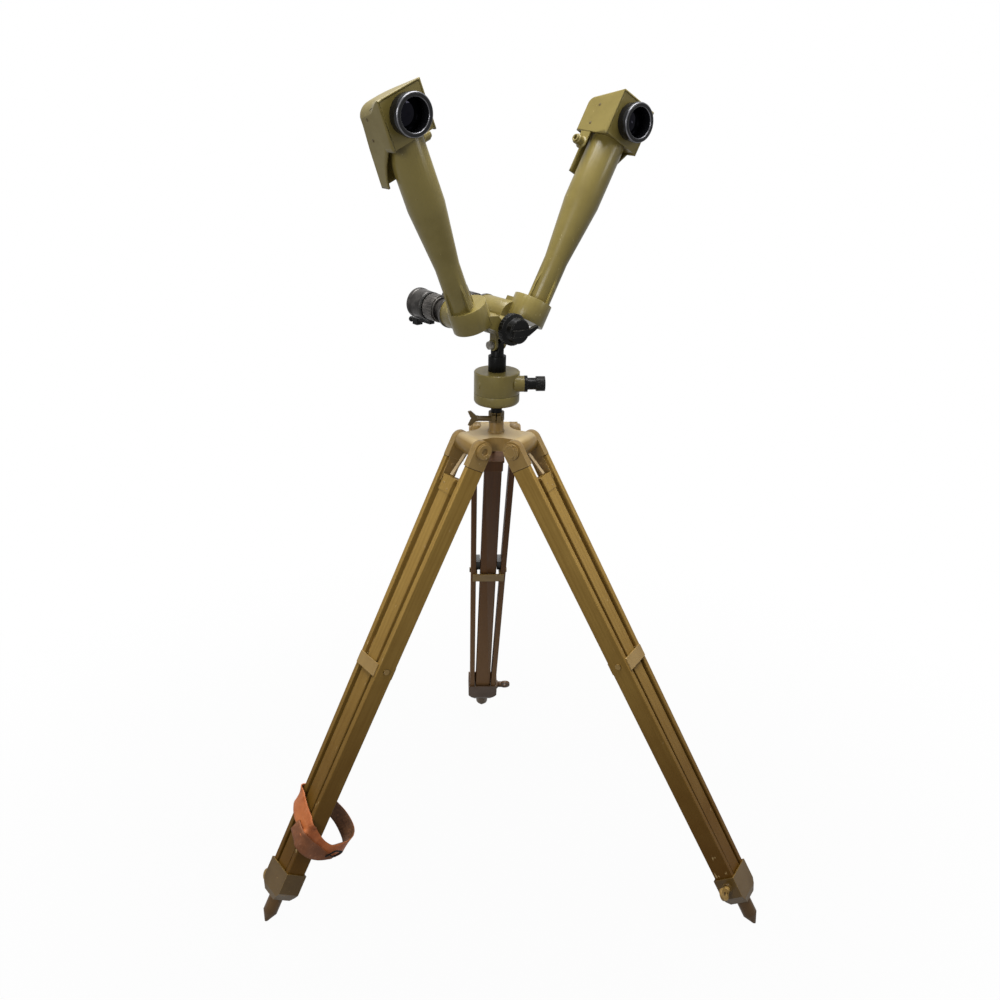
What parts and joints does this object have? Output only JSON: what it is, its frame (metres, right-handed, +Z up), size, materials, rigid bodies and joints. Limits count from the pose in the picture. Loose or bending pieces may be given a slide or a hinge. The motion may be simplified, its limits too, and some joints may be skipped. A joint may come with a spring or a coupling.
{
  "type": "periscopic binoculars on a tripod",
  "caption": "Scissors telescope with two swinging periscope arms on an azimuth drive and a wooden tripod with sliding feet.",
  "frame": {"origin": "on the floor, under the tripod's own axis", "axes": "+Z up, -Y along the sight line towards the target, +X to the right arm's side"},
  "size_m": [0.7978, 0.9003, 1.4052],
  "materials": {
    "ochre_metal": "worn ochre olive enamel",
    "ochre_wood": "ash rails under worn ochre olive paint",
    "umber_wood": "ash rails under dark brown paint",
    "umber_metal": "browned steel",
    "olive_casting": "satin khaki enamel on a light casting",
    "black_steel": "satin black enamel",
    "black_plastic": "satin black moulding compound",
    "gunmetal": "worn grey black anodising",
    "bare_steel": "dull bare steel",
    "brass": "dull brass",
    "glass": "coated optical glass",
    "leather": "tan strap leather"
  },
  "bodies": {
    "tripod": {"tripod_head": "ochre_metal", "stem_socket": "ochre_metal", "stem_clamp": "umber_metal", "spread_stops": "bare_steel", "pivot_bolts": "ochre_metal", "pivot_nuts": "ochre_metal"},
    "collar_screw": {"stem_clamp_screw": "umber_metal"},
    "left_leg": {"left_rails": "ochre_wood", "left_ears": "ochre_metal", "left_mid_band": "ochre_metal", "left_shoe": "ochre_metal", "leather_strap": "leather", "strap_buckle": "black_steel"},
    "left_foot": {"left_bar": "ochre_wood", "left_spike": "umber_metal"},
    "left_clamp": {"left_clamp_screw": "ochre_metal"},
    "front_leg": {"front_rails": "ochre_wood", "front_ears": "ochre_metal", "front_mid_band": "ochre_metal", "front_shoe": "ochre_metal"},
    "front_foot": {"front_bar": "ochre_wood", "front_spike": "umber_metal"},
    "front_clamp": {"front_clamp_screw": "ochre_metal"},
    "rear_leg": {"rear_rails": "umber_wood", "rear_ears": "umber_metal", "rear_mid_band": "ochre_metal", "rear_shoe": "umber_metal"},
    "rear_foot": {"rear_bar": "umber_wood", "rear_spike": "umber_metal"},
    "rear_clamp": {"rear_clamp_screw": "umber_metal"},
    "mount": {"stem": "black_steel", "drive_cover": "olive_casting", "drive_housing": "olive_casting"},
    "worm": {"worm_shaft": "bare_steel", "azimuth_knob": "black_plastic"},
    "turntable": {"post": "black_steel", "worm_wheel": "brass"},
    "tilt_block": {"hinge_block": "olive_casting", "hinge_spindle": "bare_steel", "tilt_pin": "bare_steel"},
    "arm_lock": {"hinge_knob": "black_plastic"},
    "left_arm": {"left_elbow": "olive_casting", "left_tube": "olive_casting", "left_head": "olive_casting", "left_head_cover": "olive_casting", "left_hood": "black_plastic", "left_optics": "glass", "left_eyepiece": "gunmetal"},
    "left_focus": {"left_focus_ring": "gunmetal", "left_eyecup": "black_plastic"},
    "right_arm": {"right_elbow": "olive_casting", "right_tube": "olive_casting", "right_head": "olive_casting", "right_head_cover": "olive_casting", "right_hood": "black_plastic", "right_optics": "glass", "right_eyepiece": "gunmetal"},
    "right_focus": {"right_focus_ring": "gunmetal", "right_eyecup": "black_plastic"},
    "filter": {"filter_lever": "black_plastic"}
  },
  "joints": [
    {"name": "left_leg_fold", "type": "hinge", "parent": "tripod", "child": "left_leg", "pos_m": [-0.04963, 0.00609, 0.806], "axis": [-0.1219, -0.9925, 0], "range_deg": [0, 27.2], "deforming": ["leather_strap", "strap_buckle"]},
    {"name": "left_foot_slide", "type": "slide", "parent": "left_leg", "child": "left_foot", "axis": [-0.4537, 0.0557, -0.8894], "range_m": [0, 0.26]},
    {"name": "left_clamp_turn", "type": "hinge", "parent": "left_leg", "child": "left_clamp", "pos_m": [-0.42857, 0.09292, 0.05355], "axis": [-0.1219, -0.9925, 0], "range_deg": [-180, 0]},
    {"name": "front_leg_fold", "type": "hinge", "parent": "tripod", "child": "front_leg", "pos_m": [0.01954, -0.04603, 0.806], "axis": [0.9205, 0.3907, 0], "range_deg": [0, 30.5]},
    {"name": "front_foot_slide", "type": "slide", "parent": "front_leg", "child": "front_foot", "axis": [0.1983, -0.4672, -0.8616], "range_m": [0, 0.26]},
    {"name": "front_clamp_turn", "type": "hinge", "parent": "front_leg", "child": "front_clamp", "pos_m": [0.15049, -0.4569, 0.07706], "axis": [0.9205, 0.3907, 0], "range_deg": [-180, 0]},
    {"name": "rear_leg_fold", "type": "hinge", "parent": "tripod", "child": "rear_leg", "pos_m": [0.03009, 0.03993, 0.806], "axis": [-0.7986, 0.6018, 0], "range_deg": [0, 29.9]},
    {"name": "rear_foot_slide", "type": "slide", "parent": "rear_leg", "child": "rear_foot", "axis": [0.3, 0.3981, -0.8669], "range_m": [0, 0.26]},
    {"name": "rear_clamp_turn", "type": "hinge", "parent": "rear_leg", "child": "rear_clamp", "pos_m": [0.31583, 0.35266, 0.07261], "axis": [-0.7986, 0.6018, 0], "range_deg": [-180, 0]},
    {"name": "collar_screw_turn", "type": "hinge", "parent": "tripod", "child": "collar_screw", "pos_m": [-0.01189, -0.01417, 0.851], "axis": [-0.766, 0.6428, 0], "range_deg": [-90, 0]},
    {"name": "mount_swivel", "type": "hinge", "parent": "tripod", "child": "mount", "pos_m": [0, 0, 0.86], "axis": [0, 0, 1], "continuous": true},
    {"name": "azimuth_turn", "type": "hinge", "parent": "mount", "child": "turntable", "pos_m": [0, 0, 0.92], "axis": [0, 0, 1], "continuous": true},
    {"name": "azimuth_knob_turn", "type": "hinge", "parent": "mount", "child": "worm", "pos_m": [-0.00975, -0.01393, 0.911], "axis": [0.8192, -0.5736, 0], "continuous": true},
    {"name": "tilt", "type": "hinge", "parent": "turntable", "child": "tilt_block", "pos_m": [0, 0, 0.975], "axis": [1, 0, 0], "range_deg": [-15, 15]},
    {"name": "arm_lock_turn", "type": "hinge", "parent": "tilt_block", "child": "arm_lock", "pos_m": [0, -0.045, 1.007], "axis": [0, -1, 0], "range_deg": [0, 180]},
    {"name": "left_arm_swing", "type": "hinge", "parent": "tilt_block", "child": "left_arm", "pos_m": [0, 0, 1.007], "axis": [0, -1, 0], "range_deg": [-22.5, 37.5]},
    {"name": "right_arm_swing", "type": "hinge", "parent": "tilt_block", "child": "right_arm", "pos_m": [0, 0, 1.007], "axis": [0, 1, 0], "range_deg": [-30.3, 29.7]},
    {"name": "left_focus_turn", "type": "hinge", "parent": "left_arm", "child": "left_focus", "pos_m": [-0.0359, 0.12, 1.01919], "axis": [0, 1, 0], "range_deg": [-90, 90]},
    {"name": "right_focus_turn", "type": "hinge", "parent": "right_arm", "child": "right_focus", "pos_m": [0.03722, 0.12, 1.01421], "axis": [0, 1, 0], "range_deg": [-90, 90]},
    {"name": "filter_swing", "type": "hinge", "parent": "left_arm", "child": "filter", "pos_m": [-0.0359, 0.1345, 1.01919], "axis": [0, 1, 0], "range_deg": [-30, 30]}
  ],
  "couplings": [
    {"joint": "azimuth_knob_turn", "follows": "azimuth_turn", "ratio": 24}
  ]
}
